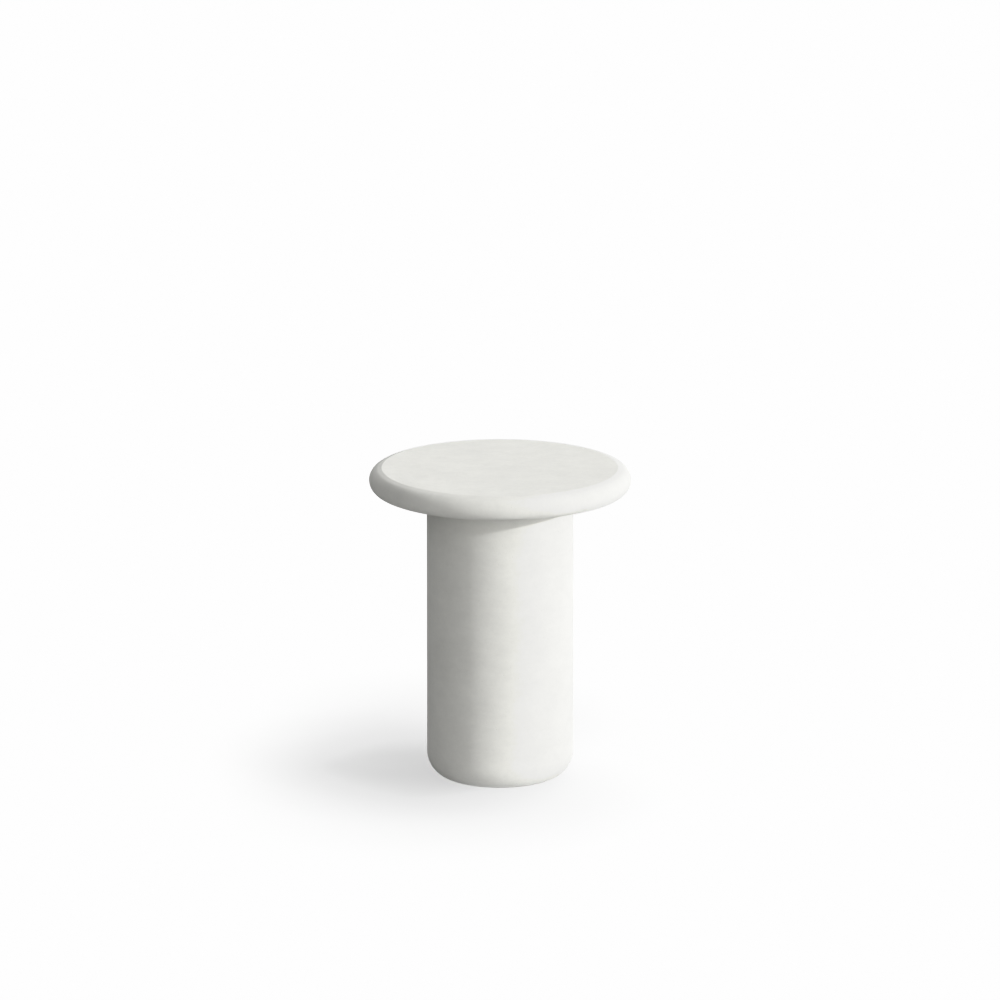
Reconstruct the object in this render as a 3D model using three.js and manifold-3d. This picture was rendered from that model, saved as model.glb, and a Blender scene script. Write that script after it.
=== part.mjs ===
// Round pedestal side table: a thick slab with a bullnosed edge on a drum pedestal with a rounded
// foot. Slab and drum are cast in fibre-reinforced cement and bolted together from inside the drum.
// Millimetres, +Z up, with the origin on the floor under the centre of the table.

import * as THREE from 'three';
import { mergeVertices } from 'three/addons/utils/BufferGeometryUtils.js';
import Module from 'manifold-3d';

const wasm = await Module();
wasm.setup();

// Overall sizes. The cast height runs from the pedestal's foot to the top face, without the pads.
const CAST_HEIGHT = 510;
const TOP_DIAMETER = 420;
const PEDESTAL_DIAMETER = 235;

// Tabletop: the flat face stands a little above the bullnose's crown and stops a little short of
// its centre, so a shallow bevel leads from the face's crisp edge into the round.
const TOP_THICKNESS = 39;
const FACE_RISE = 1;
const FACE_INSET = 1.5;

// Pedestal shell
const WALL = 18;
const DECK_THICKNESS = 22;
const DECK_FILLET = 12;
const FOOT_ROUND = 42;
const FOOT_RING_WIDTH = 26;
const DECK_ARRIS = 1.5;

// Gasket between the two castings, and the pads that the pedestal stands on
const GASKET_THICKNESS = 1.5;
const GASKET_INSET = 5;
const GASKET_WIDTH = 24;
const PAD_DIAMETER = 22;
const PAD_THICKNESS = 1.5;
const PAD_EDGE = 0.4;
const PAD_COUNT = 4;

// Steel disc inside the drum that spreads the bolts' pull over the deck
const PLATE_THICKNESS = 4;
const PLATE_CLEARANCE = 18;

// M8 socket-head screws, their washers and the threaded sockets cast into the slab
const BOLT_COUNT = 4;
const BOLT_DIAMETER = 8;
const BOLT_HEAD_DIAMETER = 13;
const BOLT_HEAD_HEIGHT = 8;
const BOLT_CHAMFER = 0.8;
const KEY_WIDTH = 6;
const KEY_DEPTH = 4;
const TOOL_CLEARANCE = 12;
const BOLT_HOLE_DIAMETER = 9;
const WASHER_DIAMETER = 16;
const WASHER_THICKNESS = 1.6;
const SOCKET_DIAMETER = 13;
const SOCKET_FLANGE_DIAMETER = 20;
const SOCKET_FLANGE_THICKNESS = 4;
const SOCKET_LENGTH = 24;
const SOCKET_BORE_DEPTH = 20;
const BOLT_ENGAGEMENT = 14.4;

// Gap kept between pieces that touch or fit into each other
const GAP = 0.3;

// Sides of the round shapes and steps of their arcs
const BIG_SIDES = 64;
const SMALL_SIDES = 16;
const ARC_STEP = THREE.MathUtils.degToRad(12);

// Radii and levels that follow from the sizes above
const pedestalRadius = PEDESTAL_DIAMETER / 2;
const hollowRadius = pedestalRadius - WALL;
const footRadius = pedestalRadius - FOOT_ROUND;
const handHoleRadius = footRadius - FOOT_RING_WIDTH;
const padCircleRadius = footRadius - FOOT_RING_WIDTH / 2;
const boltCircleRadius = handHoleRadius - TOOL_CLEARANCE;
const plateRadius = hollowRadius - PLATE_CLEARANCE;

const footLevel = PAD_THICKNESS + GAP;
const slabLevel = footLevel + CAST_HEIGHT - TOP_THICKNESS;
const gasketLevel = slabLevel - GAP - GASKET_THICKNESS;
const deckLevel = gasketLevel - GAP;
const pedestalHeight = deckLevel - footLevel;
const plateLevel = deckLevel - DECK_THICKNESS - GAP - PLATE_THICKNESS;
const washerLevel = plateLevel - GAP - WASHER_THICKNESS;
const boltSeatLevel = washerLevel - GAP;
const socketLevel = slabLevel;
const boltLength = socketLevel + BOLT_ENGAGEMENT - boltSeatLevel;

const castCement = { color: 0xe6e7e2, roughness: 0.85, metalness: 0 };
const zincSteel = { color: 0xa9adb0, roughness: 0.35, metalness: 1 };
const brass = { color: 0xb99a55, roughness: 0.3, metalness: 1 };
const blackRubber = { color: 0x2b2b2b, roughness: 0.8, metalness: 0 };
const greyFelt = { color: 0x8c8983, roughness: 0.95, metalness: 0 };

const point = (radius, height) => new THREE.Vector2(radius, height);

// Points along an arc about a centre, from one angle to another in radians.
function arc(centreRadius, centreHeight, radius, from, to) {
  const steps = Math.max(2, Math.ceil(Math.abs(to - from) / ARC_STEP));
  return Array.from({ length: steps + 1 }, (_, step) => {
    const angle = from + ((to - from) * step) / steps;
    return point(centreRadius + radius * Math.cos(angle), centreHeight + radius * Math.sin(angle));
  });
}

// Solid of revolution about Z. The profile runs anticlockwise, with the material on its left.
function turned(profile, sides) {
  return new THREE.LatheGeometry(profile, sides).rotateX(Math.PI / 2);
}

// Plain ring about Z that stands on z = 0.
function ring(outerRadius, innerRadius, thickness, sides) {
  const corners = [
    point(innerRadius, 0),
    point(outerRadius, 0),
    point(outerRadius, thickness),
    point(innerRadius, thickness),
    point(innerRadius, 0),
  ];
  return turned(corners, sides);
}

// Upright cylinder about Z from one level to another.
function rod(radius, from, to, sides = SMALL_SIDES) {
  const height = to - from;
  const cylinder = new THREE.CylinderGeometry(radius, radius, height, sides);
  return cylinder.rotateX(Math.PI / 2).translate(0, 0, from + height / 2);
}

// Manifold solid of a closed geometry, with its shared corners merged.
function solidOf(geometry) {
  geometry.deleteAttribute('normal');
  geometry.deleteAttribute('uv');
  const welded = mergeVertices(geometry);
  const corners = Array.from(welded.index.array);
  const kept = [];
  for (let i = 0; i < corners.length; i += 3) {
    const [a, b, c] = corners.slice(i, i + 3);
    if (a !== b && b !== c && c !== a) kept.push(a, b, c);
  }
  const vertProperties = new Float32Array(welded.attributes.position.array);
  const triVerts = new Uint32Array(kept);
  return new wasm.Manifold(new wasm.Mesh({ numProp: 3, vertProperties, triVerts }));
}

// Geometry of a manifold solid.
function geometryOf(solid) {
  const { vertProperties, triVerts } = solid.getMesh();
  const geometry = new THREE.BufferGeometry();
  geometry.setAttribute('position', new THREE.BufferAttribute(vertProperties, 3));
  geometry.setIndex(new THREE.BufferAttribute(triVerts, 1));
  geometry.computeVertexNormals();
  return geometry;
}

// Geometry of a body with other shapes cut out of it.
function cut(body, tools) {
  const remaining = tools.reduce((left, tool) => left.subtract(solidOf(tool)), solidOf(body));
  return geometryOf(remaining);
}

// Centres spread evenly round a circle, starting half a step past the +X axis.
function circleOf(count, radius) {
  return Array.from({ length: count }, (_, index) => {
    const angle = ((index + 0.5) * 2 * Math.PI) / count;
    return new THREE.Vector3(radius * Math.cos(angle), radius * Math.sin(angle), 0);
  });
}

const boltCentres = circleOf(BOLT_COUNT, boltCircleRadius);
const padCentres = circleOf(PAD_COUNT, padCircleRadius);

// Copies of one cutting tool, one at each bolt.
const atBolts = (makeTool) => boltCentres.map(({ x, y }) => makeTool().translate(x, y, 0));

// Threaded socket: a barrel with a flange at its deep end that anchors it in the cast slab.
// The offset grows the outline outwards, for the pocket that the socket sits in.
function socketOutline(offset) {
  const barrel = SOCKET_DIAMETER / 2 + offset;
  const flange = SOCKET_FLANGE_DIAMETER / 2 + offset;
  const shoulder = SOCKET_LENGTH - SOCKET_FLANGE_THICKNESS - offset;
  return [
    point(0, 0),
    point(barrel, 0),
    point(barrel, shoulder),
    point(flange, shoulder),
    point(flange, SOCKET_LENGTH + offset),
    point(0, SOCKET_LENGTH + offset),
  ];
}

function socketGeometry() {
  const bore = rod(BOLT_DIAMETER / 2 + GAP, -1, SOCKET_BORE_DEPTH);
  return cut(turned(socketOutline(0), SMALL_SIDES), [bore]);
}

// Pocket for a socket, which starts below the slab's underside so that it opens there.
function socketPocket() {
  const [start, mouth, ...deeper] = socketOutline(GAP);
  const outline = [point(start.x, -1), point(mouth.x, -1), ...deeper];
  return turned(outline, SMALL_SIDES);
}

// Slab with its underside on z = 0. The bevel is the tangent from the face's edge to the bullnose.
function tabletopGeometry() {
  const radius = (TOP_THICKNESS - FACE_RISE) / 2;
  const centre = TOP_DIAMETER / 2 - radius;
  const rise = TOP_THICKNESS - radius;
  const faceDistance = Math.hypot(FACE_INSET, rise);
  const tangentAngle = Math.atan2(rise, -FACE_INSET) - Math.acos(radius / faceDistance);
  const profile = [
    point(0, 0),
    ...arc(centre, radius, radius, -Math.PI / 2, tangentAngle),
    point(centre - FACE_INSET, TOP_THICKNESS),
    point(0, TOP_THICKNESS),
  ];
  return cut(turned(profile, BIG_SIDES), atBolts(socketPocket));
}

// Drum with its foot on z = 0: one wall thickness all round, turned in under itself at the foot,
// where the hand hole opens, and closed at the top by the deck with its bolt holes.
function pedestalGeometry() {
  const innerRound = Math.max(FOOT_ROUND - WALL, 1);
  const deckUnderside = pedestalHeight - DECK_THICKNESS;
  const filletCentre = hollowRadius - DECK_FILLET;
  const profile = [
    point(0, deckUnderside),
    ...arc(filletCentre, deckUnderside - DECK_FILLET, DECK_FILLET, Math.PI / 2, 0),
    ...arc(hollowRadius - innerRound, WALL + innerRound, innerRound, 0, -Math.PI / 2),
    point(handHoleRadius, WALL),
    point(handHoleRadius, 0),
    ...arc(footRadius, FOOT_ROUND, FOOT_ROUND, -Math.PI / 2, 0),
    point(pedestalRadius, pedestalHeight - DECK_ARRIS),
    point(pedestalRadius - DECK_ARRIS, pedestalHeight),
    point(0, pedestalHeight),
  ];
  const boltHole = () => rod(BOLT_HOLE_DIAMETER / 2, deckUnderside - 1, pedestalHeight + 1);
  return cut(turned(profile, BIG_SIDES), atBolts(boltHole));
}

// Ring gasket, set in from the drum's edge so that it doesn't show.
function gasketGeometry() {
  const outerRadius = pedestalRadius - GASKET_INSET;
  return ring(outerRadius, outerRadius - GASKET_WIDTH, GASKET_THICKNESS, BIG_SIDES);
}

function plateGeometry() {
  const plate = rod(plateRadius, 0, PLATE_THICKNESS, BIG_SIDES);
  const boltHole = () => rod(BOLT_HOLE_DIAMETER / 2, -1, PLATE_THICKNESS + 1);
  return cut(plate, atBolts(boltHole));
}

// Socket-head screw, head down, with the head's seat on z = 0 and a hexagon for the key.
function boltGeometry() {
  const head = BOLT_HEAD_DIAMETER / 2;
  const shank = BOLT_DIAMETER / 2;
  const profile = [
    point(0, -BOLT_HEAD_HEIGHT),
    point(head - BOLT_CHAMFER, -BOLT_HEAD_HEIGHT),
    point(head, BOLT_CHAMFER - BOLT_HEAD_HEIGHT),
    point(head, 0),
    point(shank, 0),
    point(shank, boltLength - BOLT_CHAMFER),
    point(shank - BOLT_CHAMFER, boltLength),
    point(0, boltLength),
  ];
  const keyCornerRadius = KEY_WIDTH / Math.sqrt(3);
  const keyHole = rod(keyCornerRadius, -BOLT_HEAD_HEIGHT - 1, KEY_DEPTH - BOLT_HEAD_HEIGHT, 6);
  return cut(turned(profile, SMALL_SIDES), [keyHole]);
}

function washerGeometry() {
  return ring(WASHER_DIAMETER / 2, BOLT_DIAMETER / 2 + GAP, WASHER_THICKNESS, SMALL_SIDES);
}

// Felt pad with its lower edge eased, standing on z = 0.
function padGeometry() {
  const radius = PAD_DIAMETER / 2;
  const profile = [
    point(0, 0),
    point(radius - PAD_EDGE, 0),
    point(radius, PAD_EDGE),
    point(radius, PAD_THICKNESS),
    point(0, PAD_THICKNESS),
  ];
  return turned(profile, SMALL_SIDES);
}

const table = new THREE.Group();

// Adds one named piece to the table, at a centre and a level above the floor.
function place(name, geometry, look, level, centre = new THREE.Vector3()) {
  const mesh = new THREE.Mesh(geometry, new THREE.MeshStandardMaterial(look));
  mesh.name = name;
  mesh.position.set(centre.x, centre.y, level);
  table.add(mesh);
}

// Adds a numbered copy of a piece at each centre.
function placeEach(name, makeGeometry, look, level, centres) {
  centres.forEach((centre, index) => place(`${name}_${index + 1}`, makeGeometry(), look, level, centre));
}

place('tabletop', tabletopGeometry(), castCement, slabLevel);
place('pedestal', pedestalGeometry(), castCement, footLevel);
place('seat_gasket', gasketGeometry(), blackRubber, gasketLevel);
place('fixing_plate', plateGeometry(), zincSteel, plateLevel);
placeEach('threaded_socket', socketGeometry, brass, socketLevel, boltCentres);
placeEach('washer', washerGeometry, zincSteel, washerLevel, boltCentres);
placeEach('top_bolt', boltGeometry, zincSteel, boltSeatLevel, boltCentres);
placeEach('felt_pad', padGeometry, greyFelt, 0, padCentres);

export default table;
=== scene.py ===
# Round pedestal side table in off-white microcement: a bullnosed slab on a drum with a rounded foot.
# Metres, +Z up, origin on the floor under the middle of the table.

import math

import bpy
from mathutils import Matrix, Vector


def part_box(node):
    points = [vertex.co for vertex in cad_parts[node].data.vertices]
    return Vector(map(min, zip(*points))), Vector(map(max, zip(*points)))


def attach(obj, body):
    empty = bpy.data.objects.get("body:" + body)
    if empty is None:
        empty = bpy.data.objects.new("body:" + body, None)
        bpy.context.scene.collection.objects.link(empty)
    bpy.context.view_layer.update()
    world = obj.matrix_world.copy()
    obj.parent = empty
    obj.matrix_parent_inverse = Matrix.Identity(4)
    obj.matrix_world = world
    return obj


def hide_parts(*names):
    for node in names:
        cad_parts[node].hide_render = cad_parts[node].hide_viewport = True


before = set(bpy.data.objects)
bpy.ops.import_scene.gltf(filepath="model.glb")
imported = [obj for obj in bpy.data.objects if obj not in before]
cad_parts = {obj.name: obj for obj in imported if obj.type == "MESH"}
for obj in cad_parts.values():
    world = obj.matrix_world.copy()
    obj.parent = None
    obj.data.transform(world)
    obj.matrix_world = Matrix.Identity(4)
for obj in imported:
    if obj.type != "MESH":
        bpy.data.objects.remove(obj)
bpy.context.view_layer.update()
scene = bpy.context.scene


# ---- Camera ---------------------------------------------------------------------------------
# A long lens, far from the table and a little above it, so that the drum's sides stay upright.

CAMERA_DISTANCE = 20.4
CAMERA_HEIGHT = 5.596
AIM_HEIGHT = 0.4578
LENS_MM = 472.8
SENSOR_MM = 36.0

camera_data = bpy.data.cameras.new("camera")
camera_data.lens = LENS_MM
camera_data.sensor_width = SENSOR_MM
camera_data.clip_end = 200.0
camera = bpy.data.objects.new("camera", camera_data)
camera.location = (0.0, -CAMERA_DISTANCE, CAMERA_HEIGHT)
line_of_sight = Vector((0.0, 0.0, AIM_HEIGHT)) - camera.location
camera.rotation_euler = line_of_sight.to_track_quat("-Z", "Y").to_euler()
scene.collection.objects.link(camera)
scene.camera = camera


# ---- Floor ----------------------------------------------------------------------------------
# A wide seamless white floor. Lamps of its own give it a soft shadow. It throws light back at the
# table from the camera's side, where it is brightest, and hardly any from under the shadow.

FLOOR_HALF = 60.0
FLOOR_GLOW = 0.35
FLOOR_ALBEDO = 0.05
FRONT_BOUNCE = 0.44
ROUND_BOUNCE = 0.03
BOUNCE_TIGHTNESS = 2.0


def add_node(tree, kind, inputs=None, **settings):
    """Adds a node to a tree. Each input is a socket to link from or a plain value."""
    made = tree.nodes.new(kind)
    for name, value in settings.items():
        setattr(made, name, value)
    for key, value in (inputs or {}).items():
        if isinstance(value, bpy.types.NodeSocket):
            tree.links.new(value, made.inputs[key])
        else:
            made.inputs[key].default_value = value
    return made


def new_material(name):
    """An empty node material and its output node."""
    material = bpy.data.materials.new(name)
    material.use_nodes = True
    material.node_tree.nodes.clear()
    return material, add_node(material.node_tree, "ShaderNodeOutputMaterial")


def math_node(tree, operation, first, second=0.0, third=0.0):
    """The result of one sum. Each term is a socket or a number."""
    return add_node(tree, "ShaderNodeMath", {0: first, 1: second, 2: third}, operation=operation).outputs[0]


def facing_lobe(tree, direction, axis, tightness):
    """How far a direction faces an axis: 1 along it, fading to 0 square to it and behind."""
    cosine = add_node(tree, "ShaderNodeVectorMath", {0: direction, 1: axis}, operation="DOT_PRODUCT")
    ahead = math_node(tree, "MAXIMUM", cosine.outputs["Value"], 0.0)
    return math_node(tree, "POWER", ahead, tightness)


def white_floor():
    """A glowing white that the camera sees, and a weaker bounce that the table gets from it."""
    material, output = new_material("white_floor")
    tree = material.node_tree
    paint = add_node(tree, "ShaderNodeBsdfDiffuse", {"Color": (FLOOR_ALBEDO,) * 3 + (1.0,)})
    glow = add_node(tree, "ShaderNodeEmission", {"Strength": FLOOR_GLOW})
    lit_floor = add_node(tree, "ShaderNodeAddShader", {0: paint.outputs[0], 1: glow.outputs[0]})
    spot = add_node(tree, "ShaderNodeTexCoord").outputs["Object"]
    outward = add_node(tree, "ShaderNodeVectorMath", {0: spot}, operation="NORMALIZE").outputs["Vector"]
    in_front = facing_lobe(tree, outward, (0.0, -1.0, 0.0), BOUNCE_TIGHTNESS)
    bounce_strength = math_node(tree, "MULTIPLY_ADD", in_front, FRONT_BOUNCE, ROUND_BOUNCE)
    bounce = add_node(tree, "ShaderNodeEmission", {"Strength": bounce_strength})
    seen = add_node(tree, "ShaderNodeLightPath").outputs["Is Camera Ray"]
    mix = add_node(tree, "ShaderNodeMixShader", {0: seen, 1: bounce.outputs[0], 2: lit_floor.outputs[0]})
    tree.links.new(mix.outputs[0], output.inputs["Surface"])
    return material


floor_mesh = bpy.data.meshes.new("floor")
floor_corners = [(x * FLOOR_HALF, y * FLOOR_HALF, 0.0) for x, y in ((-1, -1), (1, -1), (1, 1), (-1, 1))]
floor_mesh.from_pydata(floor_corners, [], [(0, 1, 2, 3)])
floor_mesh.materials.append(white_floor())
floor = bpy.data.objects.new("floor", floor_mesh)
scene.collection.objects.link(floor)


# ---- Lights ---------------------------------------------------------------------------------
# A small key lamp low on the right, and soft panels round the room, most of them low too. High
# lamps light only the floor, where the slab makes their soft shadow. Highlights roll off softly.

KEY = {"azimuth": 65.0, "elevation": 18.0, "softness": 0.8, "strength": 1.86}
FLOOR_LAMPS = (
    {"azimuth": 15.0, "elevation": 54.0, "softness": 20.0, "strength": 12.0},
    {"azimuth": 50.0, "elevation": 66.0, "softness": 20.0, "strength": 16.5},
    {"azimuth": 90.0, "elevation": 72.0, "softness": 20.0, "strength": 14.5},
    {"azimuth": 150.0, "elevation": 72.0, "softness": 35.0, "strength": 14.5},
)
FLOOR_SKY = {"azimuth": 0.0, "elevation": 90.0, "softness": 170.0, "strength": 2.4}
PANELS = (
    {"azimuth": 60.0, "elevation": 0.0, "tightness": 10.0, "strength": 9.6},
    {"azimuth": 20.0, "elevation": 0.0, "tightness": 10.0, "strength": 0.85},
    {"azimuth": -60.0, "elevation": 30.0, "tightness": 6.0, "strength": 1.3},
    {"azimuth": 135.0, "elevation": 62.0, "tightness": 10.0, "strength": 1.85},
    {"azimuth": 180.0, "elevation": 12.0, "tightness": 10.0, "strength": 3.9},
)
BACKDROP = 1.3
SCENE_WHITE = 2.0
COMBINED_CURVE = 3
SHOWN_WHITE = 0.99
ROLL_OFF = ((0.8, 0.8), (1.25, SHOWN_WHITE))


def toward(azimuth, elevation):
    """Where a lamp is seen from the table. Azimuth 0 is the camera's side and 90 the right."""
    turn, lift = math.radians(azimuth), math.radians(elevation)
    return Vector((math.sin(turn) * math.cos(lift), -math.cos(turn) * math.cos(lift), math.sin(lift)))


def add_lamp(name, azimuth, elevation, softness, strength):
    """A far lamp, whose softness is the angle that it spans."""
    lamp = bpy.data.lights.new(name, "SUN")
    lamp.angle = math.radians(softness)
    lamp.energy = strength
    placed = bpy.data.objects.new(name, lamp)
    placed.rotation_euler = (-toward(azimuth, elevation)).to_track_quat("-Z", "Y").to_euler()
    scene.collection.objects.link(placed)
    return placed


def floor_link(name, state):
    """A collection that includes or excludes the floor for the lamps that use it."""
    linked = bpy.data.collections.new(name)
    linked.objects.link(floor)
    linked.collection_objects[0].light_linking.link_state = state
    return linked


all_but_floor = floor_link("all_but_floor", "EXCLUDE")
only_floor = floor_link("only_floor", "INCLUDE")
add_lamp("key", **KEY).light_linking.receiver_collection = all_but_floor
add_lamp("floor_sky", **FLOOR_SKY).light_linking.receiver_collection = only_floor
shade_makers = bpy.data.collections.new("shade_makers")
for number, floor_lamp in enumerate(FLOOR_LAMPS, 1):
    placed_lamp = add_lamp(f"floor_lamp_{number}", **floor_lamp)
    placed_lamp.light_linking.receiver_collection = only_floor
    placed_lamp.light_linking.blocker_collection = shade_makers


def studio_world():
    """Soft panels light the table, and the camera sees an even backdrop behind it."""
    world = bpy.data.worlds.new("studio")
    world.use_nodes = True
    tree = world.node_tree
    tree.nodes.clear()
    output = add_node(tree, "ShaderNodeOutputWorld")
    direction = add_node(tree, "ShaderNodeTexCoord").outputs["Generated"]
    total = 0.0
    for panel in PANELS:
        facing = toward(panel["azimuth"], panel["elevation"])
        glow = facing_lobe(tree, direction, facing, panel["tightness"])
        total = math_node(tree, "MULTIPLY_ADD", glow, panel["strength"], total)
    panels = add_node(tree, "ShaderNodeBackground", {"Strength": total})
    backdrop = add_node(tree, "ShaderNodeBackground", {"Strength": BACKDROP})
    seen = add_node(tree, "ShaderNodeLightPath").outputs["Is Camera Ray"]
    mix = add_node(tree, "ShaderNodeMixShader", {0: seen, 1: panels.outputs[0], 2: backdrop.outputs[0]})
    tree.links.new(mix.outputs[0], output.inputs["Surface"])
    return world


scene.world = studio_world()

scene.view_settings.view_transform = "Standard"
scene.view_settings.look = "None"
scene.view_settings.use_curve_mapping = True
tone = scene.view_settings.curve_mapping
tone.white_level = (SCENE_WHITE,) * 3
tone_curve = tone.curves[COMBINED_CURVE]
for bright, shown in ROLL_OFF:
    tone_curve.points.new(bright / SCENE_WHITE, shown)
tone_curve.points[-1].location.y = SHOWN_WHITE
for point in tone_curve.points:
    point.handle_type = "VECTOR"
tone.update()


# ---- Tabletop -------------------------------------------------------------------------------
# A slab cast in fibre-reinforced cement and skimmed by hand with off-white microcement. It rests
# on the drum's gasket, and four screws from below go into brass sockets cast into its underside.

FACE_RISE = 0.0010
FACE_INSET = 0.0015
FACE_EASING = 0.0015
SKIM_STEP = 0.004
BULLNOSE_STEPS = 40
EASING_STEPS = 4
SLAB_SIDES = 360
SLAB_WAVE = 0.11
SLAB_TROWEL_DEPTH = 0.0004
SLAB_SEED = 3.0
SLAB_FINISH_SEED = 2.0
SLAB_STREAKS = (26.0, 75.0, 75.0)
PIECE_GAP = 0.0003
COPIES = 4
SOCKET_RADIUS = 0.0065
SOCKET_FLANGE_RADIUS = 0.010
SOCKET_FLANGE_THICKNESS = 0.004
POCKET_SIDES = 48
DRILL_OVERRUN = 0.001
QUARTER = math.pi / 2
WELD = 0.00002
SHARP_ANGLE = math.radians(28.0)
SKIM_TONE = (0.806, 0.804, 0.767, 1.0)
SAND_TONE = (0.60, 0.56, 0.48, 1.0)
PORE_TONE = (0.42, 0.41, 0.38, 1.0)
BROAD_DETAIL = 3.0
FINE_DETAIL = 2.0
CLOUDS_PER_METRE = 11.0
BENDS_PER_METRE = 9.0
BEND_REACH = (0.03, 0.03, 0.006)
PATCHES_PER_METRE = 36.0
MOTTLES_PER_METRE = 150.0
GRAINS_PER_METRE = 800.0
SAND = {"scale": 330.0, "radius": 0.16, "share": 0.22}
PORES = {"scale": 80.0, "radius": 0.055, "share": 0.8}
SAND_STRENGTH = 0.30
PORE_STRENGTH = 0.6
MEAN_ROUGHNESS = 0.78
TONE_SWINGS = {
    "clouds": 0.06, "patches": 0.05, "streaks": 0.035, "mottle": 0.04, "grain": 0.04, "burnish_and_highlight": 0.03,
}
ROUGHNESS_SWINGS = {"clouds": 0.12, "streaks": 0.08, "grain": 0.06, "sand": 0.05, "burnish_and_highlight": -0.15}
RELIEF = {"patches": 0.19, "streaks": 0.065, "mottle": 0.045, "grain": 0.015, "sand": 0.02, "pores": -0.5}
# The burnish mark smooths the face's edge and lightens it: partly burnished wear, partly a painted
# highlight.
BURNISH_HIGHLIGHT_WAVES_PER_METRE = 60.0
BURNISH_HIGHLIGHT_SWING = 0.8
MEAN_BURNISH_HIGHLIGHT = 0.6
MIX_FACTOR, MIX_FIRST, MIX_SECOND, MIX_RESULT = 0, 6, 7, 2
MILLIMETRE = 0.001
MATT = {"Diffuse Roughness": 0.6, "Specular IOR Level": 0.2}

slab_low, slab_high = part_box("tabletop")
slab_radius = slab_high.x
bullnose = (slab_high.z - slab_low.z - FACE_RISE) / 2
face_radius = slab_radius - bullnose - FACE_INSET
socket_low, socket_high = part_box("threaded_socket_1")
screw_centre = (socket_low + socket_high) / 2
screw_circle = math.hypot(screw_centre.x, screw_centre.y)
screw_angle = math.atan2(screw_centre.y, screw_centre.x)


def numbered(name):
    """The names of the four CAD nodes that are copies of one thing."""
    return tuple(f"{name}_{number}" for number in range(1, COPIES + 1))


def new_tree(name):
    """An empty Geometry Nodes tree with a geometry output, its group input and its output."""
    tree = bpy.data.node_groups.new(name, "GeometryNodeTree")
    tree.interface.new_socket("Geometry", in_out="OUTPUT", socket_type="NodeSocketGeometry")
    return tree, add_node(tree, "NodeGroupInput"), add_node(tree, "NodeGroupOutput")


def size_input(tree, group_in, name, kind, value):
    """Adds a named input with its value to a tree, and returns its socket."""
    tree.interface.new_socket(name, in_out="INPUT", socket_type=f"NodeSocket{kind}").default_value = value
    return group_in.outputs[name]


def straight(label, start, end, step=1.0, groove=0.0):
    """A straight stretch of a turned profile, between two (radius, height) points."""
    sizes = {"Start": (*start, 0.0), "End": (*end, 0.0), "Step": step}
    if groove:
        sizes["Groove"] = (-groove, 0.0, 0.0)
    return label, sizes


def curved(label, centre, radius, start, sweep, steps):
    """A round stretch of a turned profile, about a (radius, height) centre."""
    sizes = {"Centre": (*centre, 0.0), "Radius": radius, "From": start, "Sweep": sweep, "Steps": steps}
    return label, sizes


def stretch_curve(tree, group_in, label, sizes):
    """The curve of one stretch, driven by inputs that are named after it."""
    kinds = {"Start": "Vector", "End": "Vector", "Centre": "Vector", "Groove": "Vector", "Steps": "Int"}
    size = {
        key: size_input(tree, group_in, f"{label} {key}", kinds.get(key, "Float"), value)
        for key, value in sizes.items()
    }
    if "Centre" in size:
        bend = {"Resolution": size["Steps"], "Radius": size["Radius"]}
        bend.update({"Start Angle": size["From"], "Sweep Angle": size["Sweep"]})
        arc = add_node(tree, "GeometryNodeCurveArc", bend, mode="RADIUS")
        place = {"Geometry": arc.outputs["Curve"], "Translation": size["Centre"]}
        return add_node(tree, "GeometryNodeTransform", place).outputs["Geometry"]
    ends = {"Start": size["Start"], "End": size["End"]}
    line = add_node(tree, "GeometryNodeCurvePrimitiveLine", ends)
    even = {"Curve": line.outputs["Curve"], "Length": size["Step"]}
    curve = add_node(tree, "GeometryNodeResampleCurve", even, mode="LENGTH").outputs["Curve"]
    if "Groove" in size:
        index = add_node(tree, "GeometryNodeInputIndex").outputs["Index"]
        every_second = math_node(tree, "MODULO", index, 2.0)
        at_end = add_node(tree, "GeometryNodeCurveEndpointSelection").outputs["Selection"]
        picked = math_node(tree, "GREATER_THAN", every_second, at_end)
        sunk = {"Geometry": curve, "Selection": picked, "Offset": size["Groove"]}
        curve = add_node(tree, "GeometryNodeSetPosition", sunk).outputs["Geometry"]
    return curve


def turned_solid(tree, group_in, label, stretches, sides):
    """The closed solid that a profile makes when it is turned about Z, anticlockwise."""
    side_count = size_input(tree, group_in, f"{label} Sides", "Int", sides)
    profile = add_node(tree, "GeometryNodeJoinGeometry")
    for stretch_label, sizes in stretches:
        curve = stretch_curve(tree, group_in, f"{label} {stretch_label}", sizes)
        tree.links.new(curve, profile.inputs[0])
    upright = {"Geometry": profile.outputs[0], "Translation": (-1.0, 0.0, 0.0), "Scale": (1.0, -1.0, 1.0)}
    section = add_node(tree, "GeometryNodeTransform", upright)
    rail = add_node(tree, "GeometryNodeCurvePrimitiveCircle", {"Resolution": side_count, "Radius": 1.0})
    sweep = {"Curve": rail.outputs["Curve"], "Profile Curve": section.outputs[0]}
    skin = add_node(tree, "GeometryNodeCurveToMesh", sweep)
    weld = {"Geometry": skin.outputs["Mesh"], "Distance": WELD}
    closed = add_node(tree, "GeometryNodeMergeByDistance", weld)
    return add_node(tree, "GeometryNodeFlipFaces", {"Mesh": closed.outputs[0]}).outputs["Mesh"]


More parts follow.
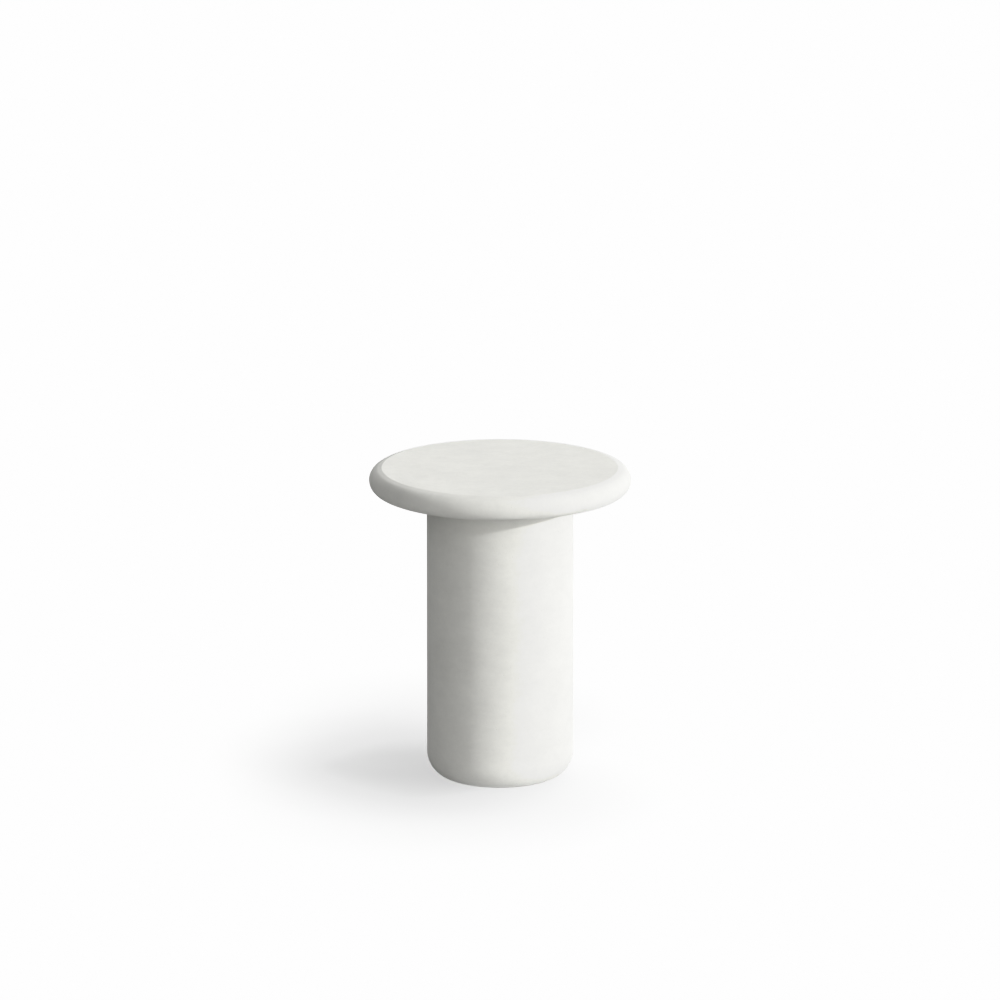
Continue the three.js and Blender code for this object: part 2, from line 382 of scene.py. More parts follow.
def around_axis(tree, group_in, label, solid, radius, angle):
    """Four copies of a solid round the table's axis, at one radius, the first at an angle."""
    ring = {
        "Vertices": size_input(tree, group_in, f"{label} Count", "Int", COPIES),
        "Radius": size_input(tree, group_in, f"{label} Circle Radius", "Float", radius),
    }
    circle = add_node(tree, "GeometryNodeMeshCircle", ring)
    first = size_input(tree, group_in, f"{label} First Angle", "Vector", (0.0, 0.0, angle))
    turned = add_node(tree, "GeometryNodeTransform", {"Geometry": circle.outputs[0], "Rotation": first})
    spread = {"Points": turned.outputs[0], "Instance": solid}
    copies = add_node(tree, "GeometryNodeInstanceOnPoints", spread)
    return add_node(tree, "GeometryNodeRealizeInstances", {"Geometry": copies.outputs[0]}).outputs[0]


def cut_out(tree, body, tools):
    """A body with other solids cut out of it."""
    cut = add_node(tree, "GeometryNodeMeshBoolean", operation="DIFFERENCE", solver="MANIFOLD")
    tree.links.new(body, cut.inputs["Mesh 1"])
    tree.links.new(tools, cut.inputs["Mesh 2"])
    return cut.outputs["Mesh"]


def hand_worked(tree, group_in, solid, depth, wave, seed):
    """Sinks a solid's surface a little, unevenly, as a trowel and a sanding block leave it."""
    noise_inputs = {
        "W": size_input(tree, group_in, "Seed", "Float", seed),
        "Scale": size_input(tree, group_in, "Waves per Metre", "Float", 1.0 / wave),
        "Detail": FINE_DETAIL,
    }
    noise = add_node(tree, "ShaderNodeTexNoise", noise_inputs, noise_dimensions="4D")
    sink = size_input(tree, group_in, "Depth", "Float", -depth)
    how_far = math_node(tree, "MULTIPLY", noise.outputs["Fac"], sink)
    inward = {0: add_node(tree, "GeometryNodeInputNormal").outputs["Normal"], "Scale": how_far}
    offset = add_node(tree, "ShaderNodeVectorMath", inward, operation="SCALE")
    moved = {"Geometry": solid, "Offset": offset.outputs["Vector"]}
    return add_node(tree, "GeometryNodeSetPosition", moved).outputs["Geometry"]


def finish_piece(name, tree, group_out, shape, material, slot, *nodes):
    """Ends a tree, keeps its result as a plain mesh and puts it in the place of its CAD nodes."""
    smooth = add_node(tree, "GeometryNodeSetShadeSmooth", {"Geometry": shape})
    plain = add_node(tree, "GeometryNodeRealizeInstances", {"Geometry": smooth.outputs[0]})
    dressing = {"Geometry": plain.outputs[0], "Material": material}
    dressed = add_node(tree, "GeometryNodeSetMaterial", dressing)
    tree.links.new(dressed.outputs[0], group_out.inputs["Geometry"])
    piece = bpy.data.objects.new(name, bpy.data.meshes.new(name))
    scene.collection.objects.link(piece)
    modifier = piece.modifiers.new(name, "NODES")
    modifier.node_group = tree
    for item in tree.interface.items_tree:
        if item.in_out == "INPUT":
            modifier[item.identifier] = item.default_value
    evaluated = piece.evaluated_get(bpy.context.evaluated_depsgraph_get())
    mesh = bpy.data.meshes.new_from_object(evaluated)
    piece.modifiers.clear()
    piece.data = mesh
    mesh.set_sharp_from_angle(angle=SHARP_ANGLE)
    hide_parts(*nodes)
    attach(piece, "root")
    return piece


def slab_profile():
    """From the underside's middle round the bullnose, up the bevel and back over the face."""
    middle = slab_low.z + bullnose
    centre = slab_radius - bullnose
    rise = slab_high.z - middle
    tangent = math.atan2(rise, -FACE_INSET) - math.acos(bullnose / math.hypot(FACE_INSET, rise))
    easing = FACE_EASING * math.tan((QUARTER - tangent) / 2)
    bevel_foot = (centre + bullnose * math.cos(tangent), middle + bullnose * math.sin(tangent))
    bevel_head = (face_radius + easing * math.sin(tangent), slab_high.z - easing * math.cos(tangent))
    easing_centre = (face_radius - easing, slab_high.z - FACE_EASING)
    return [
        straight("Underside", (0.0, slab_low.z), (centre, slab_low.z), SKIM_STEP),
        curved("Bullnose", (centre, middle), bullnose, -QUARTER, QUARTER + tangent, BULLNOSE_STEPS),
        straight("Bevel", bevel_foot, bevel_head, SKIM_STEP / 2),
        curved("Easing", easing_centre, FACE_EASING, tangent, QUARTER - tangent, EASING_STEPS),
        straight("Face", (face_radius - easing, slab_high.z), (0.0, slab_high.z), SKIM_STEP),
    ]


def pocket_profile():
    """The pocket that a socket is cast in, which is the socket's outline grown by the gap."""
    mouth = slab_low.z - DRILL_OVERRUN
    back = socket_high.z + PIECE_GAP
    shoulder = socket_high.z - SOCKET_FLANGE_THICKNESS - PIECE_GAP
    barrel = SOCKET_RADIUS + PIECE_GAP
    flange = SOCKET_FLANGE_RADIUS + PIECE_GAP
    return [
        straight("Mouth", (0.0, mouth), (barrel, mouth)),
        straight("Barrel", (barrel, mouth), (barrel, shoulder)),
        straight("Shoulder", (barrel, shoulder), (flange, shoulder)),
        straight("Flange", (flange, shoulder), (flange, back)),
        straight("Back", (flange, back), (0.0, back)),
    ]


def shader_group(name, inputs, outputs):
    """A shader node group with named sockets, and the sockets of its input and output nodes."""
    group = bpy.data.node_groups.new(name, "ShaderNodeTree")
    for label, kind in inputs.items():
        group.interface.new_socket(label, in_out="INPUT", socket_type=f"NodeSocket{kind}")
    for label, kind in outputs.items():
        group.interface.new_socket(label, in_out="OUTPUT", socket_type=f"NodeSocket{kind}")
    return group, add_node(group, "NodeGroupInput").outputs, add_node(group, "NodeGroupOutput").inputs


def swing(tree, position, scale, detail, seed=0.0):
    """Noise that swings evenly to either side of 0, with a number of waves per unit."""
    texture_inputs = {"Vector": position, "W": seed, "Scale": scale, "Detail": detail}
    noise = add_node(tree, "ShaderNodeTexNoise", texture_inputs, noise_dimensions="4D")
    return math_node(tree, "MULTIPLY_ADD", noise.outputs["Fac"], 2.0, -1.0)


def weighted_sum(tree, values, weights, start=0.0):
    """Adds up the values that have a weight, each times its weight."""
    total = start
    for name, weight in weights.items():
        total = math_node(tree, "MULTIPLY_ADD", values[name], weight, total)
    return total


def stretched(tree, position, scale):
    """A position with a scale of its own along each axis."""
    return add_node(tree, "ShaderNodeVectorMath", {0: position, 1: scale}, operation="MULTIPLY").outputs[0]


def spots(tree, position, scale, radius, share):
    """Soft round spots, one in a share of the cells of a random pattern. Radius is in cells."""
    cells = add_node(tree, "ShaderNodeTexVoronoi", {"Vector": position, "Scale": scale})
    edge = {0: cells.outputs["Distance"], 1: radius, 2: radius * 0.5, 3: 0.0, 4: 1.0}
    spot = add_node(tree, "ShaderNodeMapRange", edge).outputs[0]
    pick = add_node(tree, "ShaderNodeSeparateColor", {0: cells.outputs["Color"]}).outputs[0]
    return math_node(tree, "MULTIPLY", spot, math_node(tree, "LESS_THAN", pick, share))


def blend_colors(tree, factor, first, second):
    """The first colour where the factor is 0 and the second where it is 1."""
    values = {MIX_FACTOR: factor, MIX_FIRST: first, MIX_SECOND: second}
    return add_node(tree, "ShaderNodeMix", values, data_type="RGBA").outputs[MIX_RESULT]


def trowelled_cement():
    """Microcement: a cloudy and mottled tone, trowel streaks, fine sand, specks, pinholes and a lighter
    burnished edge.
    """
    inputs = {
        "Position": "Vector", "Tone": "Color", "Streak Scale": "Vector", "Burnish And Highlight": "Float",
        "Seed": "Float",
    }
    outputs = {"Color": "Color", "Roughness": "Float", "Height": "Float"}
    group, given, result = shader_group("trowelled_cement", inputs, outputs)
    position, seed = given["Position"], given["Seed"]
    wander = {"Vector": position, "Scale": BENDS_PER_METRE, "Detail": 1.0}
    bend = {0: add_node(group, "ShaderNodeTexNoise", wander).outputs["Color"], 1: BEND_REACH, 2: position}
    arcs = add_node(group, "ShaderNodeVectorMath", bend, operation="MULTIPLY_ADD").outputs["Vector"]
    drawn_out = stretched(group, arcs, given["Streak Scale"])
    marks = {
        "clouds": swing(group, position, CLOUDS_PER_METRE, BROAD_DETAIL, seed),
        "patches": swing(group, arcs, PATCHES_PER_METRE, BROAD_DETAIL, seed),
        "streaks": swing(group, drawn_out, 1.0, BROAD_DETAIL, seed),
        "mottle": swing(group, position, MOTTLES_PER_METRE, FINE_DETAIL, seed),
        "grain": swing(group, position, GRAINS_PER_METRE, FINE_DETAIL, seed),
        "sand": spots(group, position, **SAND),
        "pores": spots(group, position, **PORES),
        "burnish_and_highlight": given["Burnish And Highlight"],
    }
    # The burnish mark lightens the tone along the face's edge: partly burnished wear, partly a painted
    # highlight.
    shade = weighted_sum(group, marks, TONE_SWINGS, 1.0)
    tone = {0: given["Tone"], "Scale": shade}
    toned = add_node(group, "ShaderNodeVectorMath", tone, operation="SCALE").outputs["Vector"]
    sandy = math_node(group, "MULTIPLY", marks["sand"], SAND_STRENGTH)
    sanded = blend_colors(group, sandy, toned, SAND_TONE)
    porous = math_node(group, "MULTIPLY", marks["pores"], PORE_STRENGTH)
    group.links.new(blend_colors(group, porous, sanded, PORE_TONE), result["Color"])
    group.links.new(weighted_sum(group, marks, ROUGHNESS_SWINGS, MEAN_ROUGHNESS), result["Roughness"])
    group.links.new(weighted_sum(group, marks, RELIEF), result["Height"])
    return group


def object_position(tree):
    """Where a point of the surface is in the shared frame, in metres."""
    return add_node(tree, "ShaderNodeTexCoord").outputs["Object"]


def from_axis(tree, position):
    """The distance of a position from the table's axis."""
    flat = stretched(tree, position, (1.0, 1.0, 0.0))
    return add_node(tree, "ShaderNodeVectorMath", {0: flat}, operation="LENGTH").outputs["Value"]


def grouped_material(name, group, values, relief, **surface_values):
    """A material whose colour, roughness and relief come from a group, with values of its own."""
    material, output = new_material(name)
    tree = material.node_tree
    given = {"Position": object_position(tree), **values}
    finish = add_node(tree, "ShaderNodeGroup", given, node_tree=group)
    bump = add_node(tree, "ShaderNodeBump", {"Height": finish.outputs["Height"], "Distance": relief})
    looks = {
        "Base Color": finish.outputs["Color"],
        "Roughness": finish.outputs["Roughness"],
        "Normal": bump.outputs["Normal"],
    }
    looks.update(surface_values)
    surface = add_node(tree, "ShaderNodeBsdfPrincipled", looks)
    tree.links.new(surface.outputs[0], output.inputs["Surface"])
    return material, finish


cement = trowelled_cement()


def slab_material():
    """Skimmed cement, burnished where the trowel leaves the crisp edge of the face, with a painted
    highlight along it.
    """
    values = {"Tone": SKIM_TONE, "Streak Scale": SLAB_STREAKS, "Seed": SLAB_FINISH_SEED}
    material, finish = grouped_material("microcement_slab", cement, values, MILLIMETRE, **MATT)
    tree = material.node_tree
    radius = from_axis(tree, object_position(tree))
    off_edge = math_node(tree, "ABSOLUTE", math_node(tree, "SUBTRACT", radius, face_radius))
    fade = {0: off_edge, 1: 0.0, 2: FACE_EASING, 3: 1.0, 4: 0.0}
    edge = add_node(tree, "ShaderNodeMapRange", fade).outputs[0]
    uneven = swing(tree, object_position(tree), BURNISH_HIGHLIGHT_WAVES_PER_METRE, FINE_DETAIL)
    # How strongly the edge is burnished. Its lighter tone is partly wear and partly a painted highlight.
    worn = math_node(tree, "MULTIPLY_ADD", uneven, BURNISH_HIGHLIGHT_SWING, MEAN_BURNISH_HIGHLIGHT)
    tree.links.new(math_node(tree, "MULTIPLY", edge, worn), finish.inputs["Burnish And Highlight"])
    return material


tree, group_in, group_out = new_tree("tabletop")
body = turned_solid(tree, group_in, "Slab", slab_profile(), SLAB_SIDES)
pocket = turned_solid(tree, group_in, "Pocket", pocket_profile(), POCKET_SIDES)
pockets = around_axis(tree, group_in, "Pocket", pocket, screw_circle, screw_angle)
pocketed = cut_out(tree, body, pockets)
shape = hand_worked(tree, group_in, pocketed, SLAB_TROWEL_DEPTH, SLAB_WAVE, SLAB_SEED)
slab = finish_piece("tabletop_slab", tree, group_out, shape, slab_material(), "microcement", "tabletop")
shade_makers.objects.link(slab)


# ---- Pedestal -------------------------------------------------------------------------------
# A drum cast in the same cement with one wall all round. It turns in under itself at the foot,
# where a hand hole lets the screws be reached. Its outside is skimmed, and its inside is bare.

WALL = 0.018
DECK_THICKNESS = 0.022
DECK_FILLET = 0.012
DECK_ARRIS = 0.0015
FOOT_ROUND = 0.042
FOOT_RING_WIDTH = 0.026
SCREW_HOLE_RADIUS = 0.0045
FILLET_STEPS = 10
INNER_ROUND_STEPS = 12
FOOT_ROUND_STEPS = 28
ARRIS_STEPS = 6
DRILL_SIDES = 32
DRUM_SIDES = 256
DRUM_WAVE = 0.09
DRUM_TROWEL_DEPTH = 0.0004
DRUM_SEED = 8.0
DRUM_FINISH_SEED = 7.0
DRUM_STREAKS = (26.0, 26.0, 100.0)
BARE_TONE = (0.52, 0.51, 0.48, 1.0)

drum_low, drum_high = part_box("pedestal")
drum_radius = drum_high.x
under_deck = drum_high.z - DECK_THICKNESS
hollow_radius = drum_radius - WALL


def drum_profile():
    """From the deck's underside down the hollow, out through the hand hole and up the wall."""
    low, high = drum_low.z, drum_high.z
    foot = drum_radius - FOOT_ROUND
    hand_hole = foot - FOOT_RING_WIDTH
    shoulder = hollow_radius - DECK_FILLET
    arris = drum_radius - DECK_ARRIS
    fillet_centre = (shoulder, under_deck - DECK_FILLET)
    fillet_foot = (hollow_radius, under_deck - DECK_FILLET)
    foot_centre = (foot, low + FOOT_ROUND)
    hidden_step = SKIM_STEP * 2
    return [
        straight("Deck Underside", (0.0, under_deck), (shoulder, under_deck), hidden_step),
        curved("Fillet", fillet_centre, DECK_FILLET, QUARTER, -QUARTER, FILLET_STEPS),
        straight("Hollow", fillet_foot, (hollow_radius, low + FOOT_ROUND), hidden_step),
        curved("Inner Round", foot_centre, FOOT_ROUND - WALL, 0.0, -QUARTER, INNER_ROUND_STEPS),
        straight("Lip", (foot, low + WALL), (hand_hole, low + WALL), SKIM_STEP),
        straight("Hand Hole", (hand_hole, low + WALL), (hand_hole, low), SKIM_STEP),
        straight("Foot Ring", (hand_hole, low), (foot, low), SKIM_STEP),
        curved("Foot Round", foot_centre, FOOT_ROUND, -QUARTER, QUARTER, FOOT_ROUND_STEPS),
        straight("Wall", (drum_radius, low + FOOT_ROUND), (drum_radius, high - DECK_ARRIS), SKIM_STEP),
        curved("Arris", (arris, high - DECK_ARRIS), DECK_ARRIS, 0.0, QUARTER, ARRIS_STEPS),
        straight("Deck", (arris, high), (0.0, high), hidden_step),
    ]


def rod_profile(radius, low, high):
    """A plain round rod, used as a drill."""
    return [
        straight("Bottom", (0.0, low), (radius, low)),
        straight("Side", (radius, low), (radius, high)),
        straight("Top", (radius, high), (0.0, high)),
    ]


def drum_material():
    """Skimmed cement outside, trowelled round the drum, and bare cast cement inside."""
    values = {"Streak Scale": DRUM_STREAKS, "Seed": DRUM_FINISH_SEED}
    material, finish = grouped_material("microcement_drum", cement, values, MILLIMETRE, **MATT)
    tree = material.node_tree
    spot = object_position(tree)
    height = add_node(tree, "ShaderNodeSeparateXYZ", {0: spot}).outputs["Z"]
    within = math_node(tree, "LESS_THAN", from_axis(tree, spot), hollow_radius + MILLIMETRE)
    above = math_node(tree, "GREATER_THAN", height, drum_low.z + WALL / 2)
    below = math_node(tree, "LESS_THAN", height, under_deck + MILLIMETRE)
    inside = math_node(tree, "MULTIPLY", within, math_node(tree, "MULTIPLY", above, below))
    tree.links.new(blend_colors(tree, inside, SKIM_TONE, BARE_TONE), finish.inputs["Tone"])
    return material


tree, group_in, group_out = new_tree("pedestal")
body = turned_solid(tree, group_in, "Drum", drum_profile(), DRUM_SIDES)
drill_profile = rod_profile(SCREW_HOLE_RADIUS, under_deck - DRILL_OVERRUN, drum_high.z + DRILL_OVERRUN)
drill = turned_solid(tree, group_in, "Drill", drill_profile, DRILL_SIDES)
holes = around_axis(tree, group_in, "Drill", drill, screw_circle, screw_angle)
drilled = cut_out(tree, body, holes)
shape = hand_worked(tree, group_in, drilled, DRUM_TROWEL_DEPTH, DRUM_WAVE, DRUM_SEED)
finish_piece("pedestal_drum", tree, group_out, shape, drum_material(), "microcement", "pedestal")


# ---- Gasket ---------------------------------------------------------------------------------
# A thin ring of black rubber that lies on the deck and takes up what is uneven between the two
# castings. It is set in from the drum's edge, so that only the shadow gap shows.

GASKET_WIDTH = 0.024
GASKET_EDGE = 0.0003
GASKET_SIDES = 192
RUBBER_TONE = (0.030, 0.030, 0.031, 1.0)
RUBBER_BLOOM = (0.055, 0.054, 0.052, 1.0)
RUBBER_RELIEF = 0.02 * MILLIMETRE
SECOND_TONE_SWINGS = {"patches": 1.2, "grain": 0.5}
WEAR_SWINGS = {"grain": 1.0, "patches": 0.6}

gasket_low, gasket_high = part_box("seat_gasket")


def mottled_finish():
    """An uneven tone, roughness and fine relief, for plated, turned, moulded and felted things."""
    inputs = {
        "Position": "Vector", "Tone": "Color", "Second Tone": "Color", "Patch Scale": "Float",
        "Grain Scale": "Vector", "Smooth": "Float", "Rough": "Float",
    }
    outputs = {"Color": "Color", "Roughness": "Float", "Height": "Float"}
    group, given, result = shader_group("mottled_finish", inputs, outputs)
    drawn_out = stretched(group, given["Position"], given["Grain Scale"])
    marks = {
        "patches": swing(group, given["Position"], given["Patch Scale"], BROAD_DETAIL),
        "grain": swing(group, drawn_out, 1.0, FINE_DETAIL),
    }
    tinted = add_node(group, "ShaderNodeClamp", {0: weighted_sum(group, marks, SECOND_TONE_SWINGS, 0.5)})
    tone = blend_colors(group, tinted.outputs[0], given["Tone"], given["Second Tone"])
    group.links.new(tone, result["Color"])
    worn = add_node(group, "ShaderNodeClamp", {0: weighted_sum(group, marks, WEAR_SWINGS, 0.5)})
    rough = {0: worn.outputs[0], 3: given["Smooth"], 4: given["Rough"]}
    group.links.new(add_node(group, "ShaderNodeMapRange", rough).outputs[0], result["Roughness"])
    group.links.new(marks["grain"], result["Height"])
    return group


def ring_profile(inner, outer, low, high, edge):
    """A flat ring with its four edges chamfered."""
    return [
        straight("Bottom", (inner + edge, low), (outer - edge, low)),
        straight("Lower Outer Edge", (outer - edge, low), (outer, low + edge)),
        straight("Outside", (outer, low + edge), (outer, high - edge)),
        straight("Upper Outer Edge", (outer, high - edge), (outer - edge, high)),
        straight("Top", (outer - edge, high), (inner + edge, high)),
        straight("Upper Inner Edge", (inner + edge, high), (inner, high - edge)),
        straight("Inside", (inner, high - edge), (inner, low + edge)),
        straight("Lower Inner Edge", (inner, low + edge), (inner + edge, low)),
    ]


mottled = mottled_finish()
rubber_looks = {
    "Tone": RUBBER_TONE, "Second Tone": RUBBER_BLOOM, "Patch Scale": 40.0,
    "Grain Scale": (1400.0, 1400.0, 1400.0), "Smooth": 0.62, "Rough": 0.85,
}
rubber, _ = grouped_material("gasket_rubber", mottled, rubber_looks, RUBBER_RELIEF)

tree, group_in, group_out = new_tree("gasket")
gasket_hole = gasket_high.x - GASKET_WIDTH
gasket_profile = ring_profile(gasket_hole, gasket_high.x, gasket_low.z, gasket_high.z, GASKET_EDGE)
ring = turned_solid(tree, group_in, "Gasket", gasket_profile, GASKET_SIDES)
finish_piece("gasket_ring", tree, group_out, ring, rubber, "gasket_rubber", "seat_gasket")


# ---- Fixing plate ---------------------------------------------------------------------------
# A disc of zinc-plated steel under the deck, which spreads the pull of the screws. It is drilled
# for the four screws, and they hold it up against the cement.

PLATE_EDGE = 0.0005
PLATE_SIDES = 160
METAL_RELIEF = 0.01 * MILLIMETRE
ZINC_TONE = (0.60, 0.62, 0.65, 1.0)
ZINC_SPANGLE = (0.48, 0.51, 0.56, 1.0)

plate_low, plate_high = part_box("fixing_plate")

zinc_looks = {
    "Tone": ZINC_TONE, "Second Tone": ZINC_SPANGLE, "Patch Scale": 160.0,
    "Grain Scale": (900.0, 900.0, 900.0), "Smooth": 0.26, "Rough": 0.50,
}
zinc_steel, _ = grouped_material("zinc_steel", mottled, zinc_looks, METAL_RELIEF, Metallic=1.0)


def disc_profile(radius, low, high, edge):
    """A flat disc with its two edges chamfered."""
    return [
        straight("Bottom", (0.0, low), (radius - edge, low)),
        straight("Lower Edge", (radius - edge, low), (radius, low + edge)),
        straight("Side", (radius, low + edge), (radius, high - edge)),
        straight("Upper Edge", (radius, high - edge), (radius - edge, high)),
        straight("Top", (radius - edge, high), (0.0, high)),
    ]


tree, group_in, group_out = new_tree("fixing_plate")
plate_profile = disc_profile(plate_high.x, plate_low.z, plate_high.z, PLATE_EDGE)
disc = turned_solid(tree, group_in, "Plate", plate_profile, PLATE_SIDES)
punch_profile = rod_profile(SCREW_HOLE_RADIUS, plate_low.z - DRILL_OVERRUN, plate_high.z + DRILL_OVERRUN)
punch = turned_solid(tree, group_in, "Punch", punch_profile, DRILL_SIDES)
punches = around_axis(tree, group_in, "Punch", punch, screw_circle, screw_angle)
punched = cut_out(tree, disc, punches)
finish_piece("fixing_plate_disc", tree, group_out, punched, zinc_steel, "zinc_steel", "fixing_plate")


# ---- Threaded sockets -----------------------------------------------------------------------
# Four turned brass sockets cast into the slab. Grooves round the barrel and a flange at the deep
# end keep each one from turning or pulling out, and its bore is threaded for an M8 screw.

SCREW_PITCH = 0.00125
SCREW_THREAD_DEPTH = 0.00045
SOCKET_BORE_DEPTH = 0.020
SOCKET_BORE_RADIUS = 0.0043
SOCKET_MOUTH_CHAMFER = 0.0006
ANCHOR_PITCH = 0.003
ANCHOR_DEPTH = 0.0005
SOCKET_SIDES = 40
BRASS_TONE = (0.72, 0.56, 0.28, 1.0)
BRASS_TARNISH = (0.56, 0.41, 0.20, 1.0)

brass_looks = {
    "Tone": BRASS_TONE, "Second Tone": BRASS_TARNISH, "Patch Scale": 220.0,
    "Grain Scale": (200.0, 200.0, 5000.0), "Smooth": 0.22, "Rough": 0.42,
}
brass, _ = grouped_material("turned_brass", mottled, brass_looks, METAL_RELIEF, Metallic=1.0)


def socket_profile():
    """From the roof of the bore down its thread, out at the mouth and up round the flange."""
    low, high = socket_low.z, socket_high.z
    roof = low + SOCKET_BORE_DEPTH
    bore = SOCKET_BORE_RADIUS
    mouth = (bore + SOCKET_MOUTH_CHAMFER, low)
    shoulder = high - SOCKET_FLANGE_THICKNESS
    thread_foot = (bore, low + SOCKET_MOUTH_CHAMFER)
    flute = ANCHOR_PITCH / 2
    return [
        straight("Bore Roof", (0.0, roof), (bore, roof)),
        straight("Thread", (bore, roof), thread_foot, SCREW_PITCH / 2, -SCREW_THREAD_DEPTH),
        straight("Mouth", thread_foot, mouth),
        straight("Rim", mouth, (SOCKET_RADIUS, low)),
        straight("Barrel", (SOCKET_RADIUS, low), (SOCKET_RADIUS, shoulder), flute, ANCHOR_DEPTH),
        straight("Shoulder", (SOCKET_RADIUS, shoulder), (SOCKET_FLANGE_RADIUS, shoulder)),
        straight("Flange", (SOCKET_FLANGE_RADIUS, shoulder), (SOCKET_FLANGE_RADIUS, high)),
        straight("Back", (SOCKET_FLANGE_RADIUS, high), (0.0, high)),
    ]


tree, group_in, group_out = new_tree("threaded_sockets")
socket = turned_solid(tree, group_in, "Socket", socket_profile(), SOCKET_SIDES)
sockets = around_axis(tree, group_in, "Socket", socket, screw_circle, screw_angle)
finish_piece("socket_set", tree, group_out, sockets, brass, "socket_brass", *numbered("threaded_socket"))


# ---- Washers --------------------------------------------------------------------------------
# Four zinc-plated washers, stamped from sheet, between the screw heads and the fixing plate. They
# let the heads turn without scoring the plate.

WASHER_HOLE_RADIUS = 0.0043
WASHER_EDGE = 0.0002
WASHER_SIDES = 64

washer_low, washer_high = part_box("washer_1")
washer_radius = (washer_high.x - washer_low.x) / 2

tree, group_in, group_out = new_tree("washers")
washer_profile = ring_profile(WASHER_HOLE_RADIUS, washer_radius, washer_low.z, washer_high.z, WASHER_EDGE)
washer = turned_solid(tree, group_in, "Washer", washer_profile, WASHER_SIDES)
washers = around_axis(tree, group_in, "Washer", washer, screw_circle, screw_angle)
finish_piece("washer_set", tree, group_out, washers, zinc_steel, "zinc_steel", *numbered("washer"))


# ---- Screws ---------------------------------------------------------------------------------
# Four zinc-plated M8 socket-head screws, driven up through plate and deck into the brass sockets.
# Each has a knurled head with a hexagon for the key, and a thread along its upper half.

HEAD_HEIGHT = 0.008
HEAD_CHAMFER = 0.0008
HEAD_SIDES = 72
KNURL_DEPTH = 0.00018
SHANK_RADIUS = 0.004
THREADED_LENGTH = 0.022
KEY_WIDTH = 0.006
KEY_DEPTH = 0.004
KEY_SIDES = 6

bolt_low, bolt_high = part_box("top_bolt_1")
head_radius = (bolt_high.x - bolt_low.x) / 2


def screw_profile():
    """From the middle of the head round it, up the shank and its thread, and over the tip."""
    low, high = bolt_low.z, bolt_high.z
    seat = low + HEAD_HEIGHT
    thread_start = high - HEAD_CHAMFER - THREADED_LENGTH
    thread_end = (SHANK_RADIUS, high - HEAD_CHAMFER)
    tip = (SHANK_RADIUS - HEAD_CHAMFER, high)
    return [
        straight("Head End", (0.0, low), (head_radius - HEAD_CHAMFER, low)),
        straight("Head Chamfer", (head_radius - HEAD_CHAMFER, low), (head_radius, low + HEAD_CHAMFER)),
        straight("Head Side", (head_radius, low + HEAD_CHAMFER), (head_radius, seat)),
        straight("Seat", (head_radius, seat), (SHANK_RADIUS, seat)),
        straight("Shank", (SHANK_RADIUS, seat), (SHANK_RADIUS, thread_start)),
        straight("Thread", (SHANK_RADIUS, thread_start), thread_end, SCREW_PITCH / 2, SCREW_THREAD_DEPTH),
        straight("Tip Chamfer", thread_end, tip),
        straight("Tip", tip, (0.0, high)),
    ]


def knurled(tree, group_in, solid, sides):
    """Sinks every second corner round the side of a screw head a little."""
    spot = add_node(tree, "GeometryNodeInputPosition").outputs["Position"]
    axes = add_node(tree, "ShaderNodeSeparateXYZ", {0: spot}).outputs
    turn = math_node(tree, "ARCTAN2", axes["Y"], axes["X"])
    step = math_node(tree, "ROUND", math_node(tree, "MULTIPLY", turn, sides / (2 * math.pi)))
    every_second = math_node(tree, "FLOORED_MODULO", step, 2.0)
    on_side = math_node(tree, "GREATER_THAN", from_axis(tree, spot), head_radius - HEAD_CHAMFER / 2)
    picked = math_node(tree, "MULTIPLY", every_second, on_side)
    depth = size_input(tree, group_in, "Knurl Depth", "Float", KNURL_DEPTH)
    share = math_node(tree, "MULTIPLY", depth, -1.0 / head_radius)
    inward = {0: stretched(tree, spot, (1.0, 1.0, 0.0)), "Scale": share}
    offset = add_node(tree, "ShaderNodeVectorMath", inward, operation="SCALE")
    sunk = {"Geometry": solid, "Selection": picked, "Offset": offset.outputs["Vector"]}
    return add_node(tree, "GeometryNodeSetPosition", sunk).outputs["Geometry"]


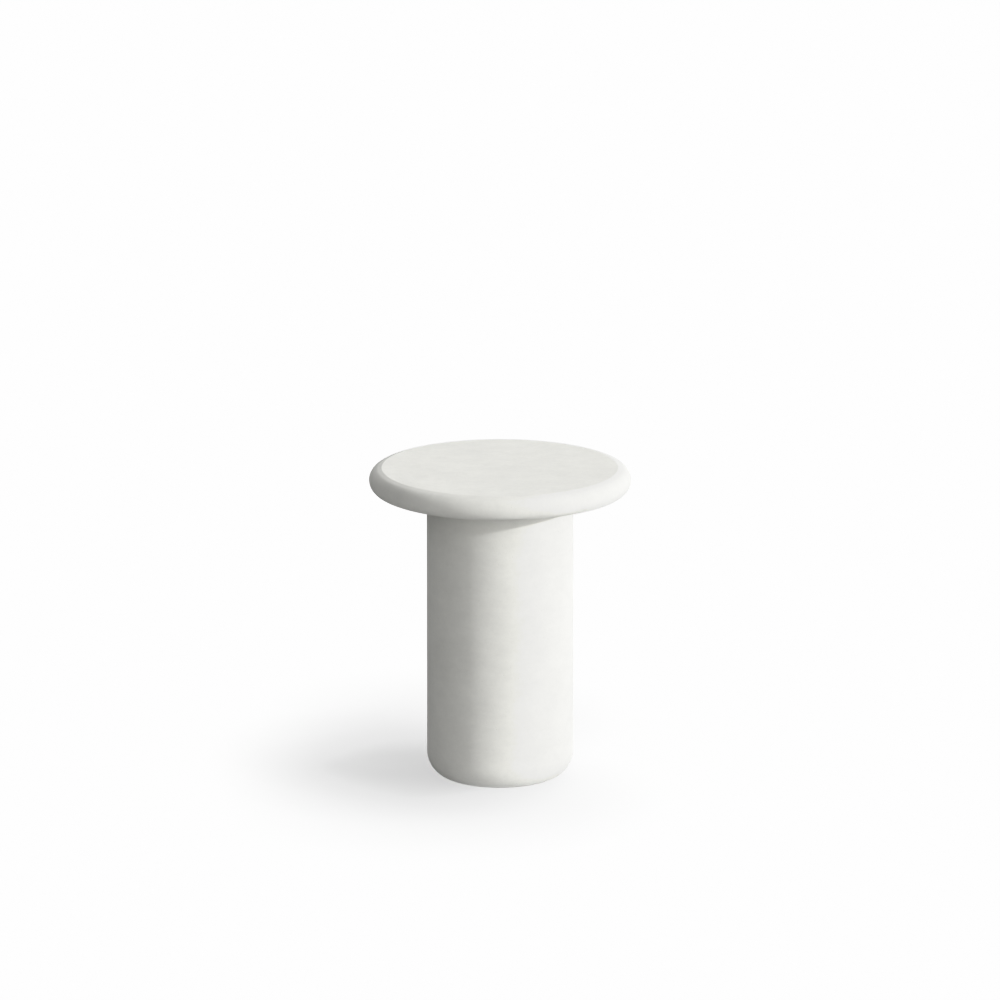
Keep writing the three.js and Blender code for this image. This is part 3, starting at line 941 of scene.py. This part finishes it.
tree, group_in, group_out = new_tree("top_bolts")
blank = turned_solid(tree, group_in, "Screw", screw_profile(), HEAD_SIDES)
grip = knurled(tree, group_in, blank, HEAD_SIDES)
key_radius = KEY_WIDTH / math.sqrt(3.0)
key_profile = rod_profile(key_radius, bolt_low.z - DRILL_OVERRUN, bolt_low.z + KEY_DEPTH)
key_hole = turned_solid(tree, group_in, "Key", key_profile, KEY_SIDES)
screw = cut_out(tree, grip, key_hole)
screws = around_axis(tree, group_in, "Screw", screw, screw_circle, screw_angle)
finish_piece("screw_set", tree, group_out, screws, zinc_steel, "zinc_steel", *numbered("top_bolt"))


# ---- Felt pads ------------------------------------------------------------------------------
# Four discs of pressed grey felt glued under the foot ring, so that the cement does not scratch
# the floor. Their rims are slightly fuzzy and their edges are eased.

PAD_EDGE = 0.0004
PAD_SIDES = 64
PAD_SEED = 5.0
FELT_RELIEF = 0.15 * MILLIMETRE
PAD_FUZZ_DEPTH = 0.00012
PAD_FUZZ_WAVE = 0.0016
FELT_TONE = (0.30, 0.29, 0.27, 1.0)
FELT_FLECK = (0.18, 0.175, 0.165, 1.0)

pad_low, pad_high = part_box("felt_pad_1")
pad_centre = (pad_low + pad_high) / 2
pad_radius = (pad_high.x - pad_low.x) / 2
pad_circle = math.hypot(pad_centre.x, pad_centre.y)
pad_angle = math.atan2(pad_centre.y, pad_centre.x)

felt_looks = {
    "Tone": FELT_TONE, "Second Tone": FELT_FLECK, "Patch Scale": 500.0,
    "Grain Scale": (2600.0, 1700.0, 2200.0), "Smooth": 0.88, "Rough": 1.0,
}
felt, _ = grouped_material("pad_felt", mottled, felt_looks, FELT_RELIEF, **{"Sheen Weight": 0.35})

tree, group_in, group_out = new_tree("felt_pads")
pad_profile = disc_profile(pad_radius, pad_low.z, pad_high.z, PAD_EDGE)
pad = turned_solid(tree, group_in, "Pad", pad_profile, PAD_SIDES)
pads = around_axis(tree, group_in, "Pad", pad, pad_circle, pad_angle)
fuzzy = hand_worked(tree, group_in, pads, PAD_FUZZ_DEPTH, PAD_FUZZ_WAVE, PAD_SEED)
finish_piece("felt_pad_set", tree, group_out, fuzzy, felt, "pad_felt", *numbered("felt_pad"))
